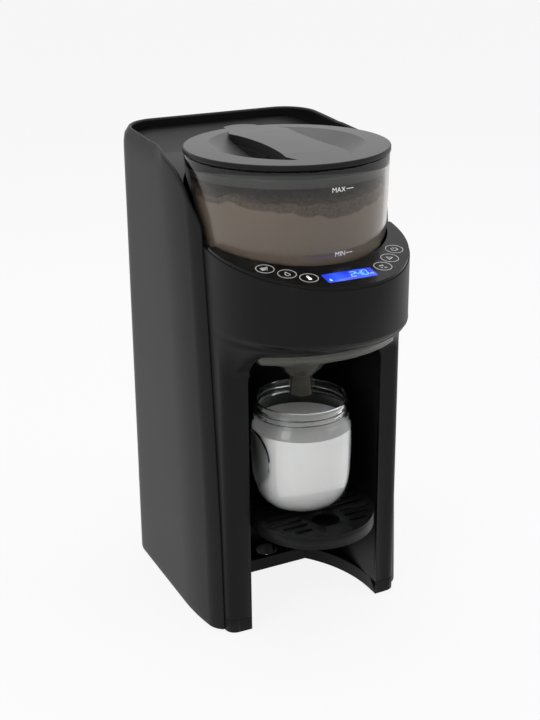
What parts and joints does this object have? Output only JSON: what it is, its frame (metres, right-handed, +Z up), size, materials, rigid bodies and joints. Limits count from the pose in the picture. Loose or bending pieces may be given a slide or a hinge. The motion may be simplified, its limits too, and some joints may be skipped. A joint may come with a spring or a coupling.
{
  "type": "baby formula maker",
  "caption": "Countertop baby formula maker with a powder hopper, sloping control panel, funnel, bottle on a drip tray and a rear water tank.",
  "frame": {"origin": "under the middle of the overall box, on the surface that the machine stands on", "axes": "+Z up, the front with its bottle bay faces -Y, +X is to the right seen from the front"},
  "size_m": [0.1864, 0.264, 0.394],
  "materials": {
    "shell_black": "satin moulded plastic",
    "housing_black": "satin moulded plastic",
    "panel_gloss": "gloss",
    "display_glass": "lit blue window",
    "display_frame": "plain",
    "board_green": "circuit board",
    "button_gloss": "gloss with light rings",
    "hopper_smoke": "smoky clear plastic",
    "lid_grey": "satin",
    "seal_rubber": "soft",
    "gear_white": "nylon",
    "steel": "satin metal",
    "funnel_smoke": "smoke tinted clear plastic",
    "bottle_clear": "clear plastic",
    "tray_black": "satin",
    "tank_smoke": "dark smoke clear plastic",
    "tank_black": "satin",
    "pump_black": "plain",
    "tube_clear": "silicone",
    "feet_rubber": "soft"
  },
  "bodies": {
    "root": {"outer_shell": "shell_black", "front_housing": "housing_black", "bay_liner": "housing_black", "hopper_cradle": "housing_black", "control_panel": "panel_gloss", "display_window": "display_glass", "display_module": "display_frame", "control_board": "board_green", "top_deck": "housing_black", "base_plate": "housing_black", "base_screws": "steel", "rubber_feet": "feet_rubber", "bay_back": "housing_black", "hopper_seat": "seal_rubber", "rear_bulkhead": "housing_black", "gear_motor": "steel", "powder_chute": "gear_white", "tray_rails": "housing_black", "tank_seat": "housing_black", "water_pump": "pump_black", "water_heater": "steel", "feed_tube": "tube_clear", "power_board": "board_green", "mains_inlet": "housing_black", "water_nozzle": "gear_white", "outlet_tube": "tube_clear"},
    "drive": {"wheel_gear": "gear_white", "drive_shaft": "steel"},
    "pinion": {"motor_pinion": "gear_white"},
    "hopper": {"hopper": "hopper_smoke"},
    "powder_drive": {"powder_wheel": "gear_white", "stirrer": "gear_white"},
    "lid_ring": {"lid_seal": "seal_rubber"},
    "lid": {"hopper_lid": "lid_grey"},
    "funnel": {"funnel": "funnel_smoke"},
    "tray": {"drip_tray": "tray_black"},
    "grille": {"tray_grille": "tray_black"},
    "bottle": {"bottle": "bottle_clear"},
    "tank": {"water_tank": "tank_smoke", "tank_lid": "tank_black", "tank_valve": "seal_rubber"},
    "power_key": {"power_button": "button_gloss"},
    "start_key": {"start_button": "button_gloss"},
    "unit_key": {"unit_button": "button_gloss"},
    "temperature_key": {"temperature_button": "button_gloss"},
    "water_key": {"water_button": "button_gloss"},
    "powder_key": {"powder_button": "button_gloss"}
  },
  "joints": [
    {"name": "hopper_lift", "type": "slide", "parent": "root", "child": "hopper", "axis": [0, 0, 1], "range_m": [0, 0.06]},
    {"name": "lid_lift", "type": "slide", "parent": "hopper", "child": "lid_ring", "axis": [0, 0, 1], "range_m": [0, 0.05]},
    {"name": "lid_turn", "type": "hinge", "parent": "lid_ring", "child": "lid", "pos_m": [0, -0.014, 0.39], "axis": [0, 0, 1], "range_deg": [0, 25]},
    {"name": "drive_turn", "type": "hinge", "parent": "root", "child": "drive", "pos_m": [0, -0.019, 0.28], "axis": [0, 0, 1], "continuous": true},
    {"name": "pinion_turn", "type": "hinge", "parent": "root", "child": "pinion", "pos_m": [0.0216, -0.019, 0.28], "axis": [0, 0, 1], "continuous": true},
    {"name": "stirrer_turn", "type": "hinge", "parent": "hopper", "child": "powder_drive", "pos_m": [0, -0.019, 0.32], "axis": [0, 0, 1], "continuous": true},
    {"name": "funnel_slide", "type": "slide", "parent": "root", "child": "funnel", "axis": [0, -1, 0], "range_m": [0, 0.12]},
    {"name": "tray_slide", "type": "slide", "parent": "root", "child": "tray", "axis": [0, -1, 0], "range_m": [0, 0.06]},
    {"name": "grille_lift", "type": "slide", "parent": "tray", "child": "grille", "axis": [0, 0, 1], "range_m": [0, 0.0025]},
    {"name": "bottle_out", "type": "slide", "parent": "grille", "child": "bottle", "axis": [0, -1, 0], "range_m": [0, 0.1]},
    {"name": "tank_out", "type": "slide", "parent": "root", "child": "tank", "axis": [0, 1, 0], "range_m": [0, 0.08]},
    {"name": "power_press", "type": "slide", "parent": "root", "child": "power_key", "axis": [0, 0.1633, -0.9866], "range_m": [0, 0.0006], "stiffness_N_per_m": 500},
    {"name": "start_press", "type": "slide", "parent": "root", "child": "start_key", "axis": [0, 0.1633, -0.9866], "range_m": [0, 0.0006], "stiffness_N_per_m": 500},
    {"name": "unit_press", "type": "slide", "parent": "root", "child": "unit_key", "axis": [0, 0.1633, -0.9866], "range_m": [0, 0.0006], "stiffness_N_per_m": 500},
    {"name": "temperature_press", "type": "slide", "parent": "root", "child": "temperature_key", "axis": [0, 0.1633, -0.9866], "range_m": [0, 0.0006], "stiffness_N_per_m": 500},
    {"name": "water_press", "type": "slide", "parent": "root", "child": "water_key", "axis": [0, 0.1633, -0.9866], "range_m": [0, 0.0006], "stiffness_N_per_m": 500},
    {"name": "powder_press", "type": "slide", "parent": "root", "child": "powder_key", "axis": [0, 0.1633, -0.9866], "range_m": [0, 0.0006], "stiffness_N_per_m": 500}
  ],
  "couplings": [
    {"joint": "pinion_turn", "follows": "drive_turn", "ratio": -2.8571},
    {"joint": "stirrer_turn", "follows": "drive_turn", "ratio": 1}
  ]
}
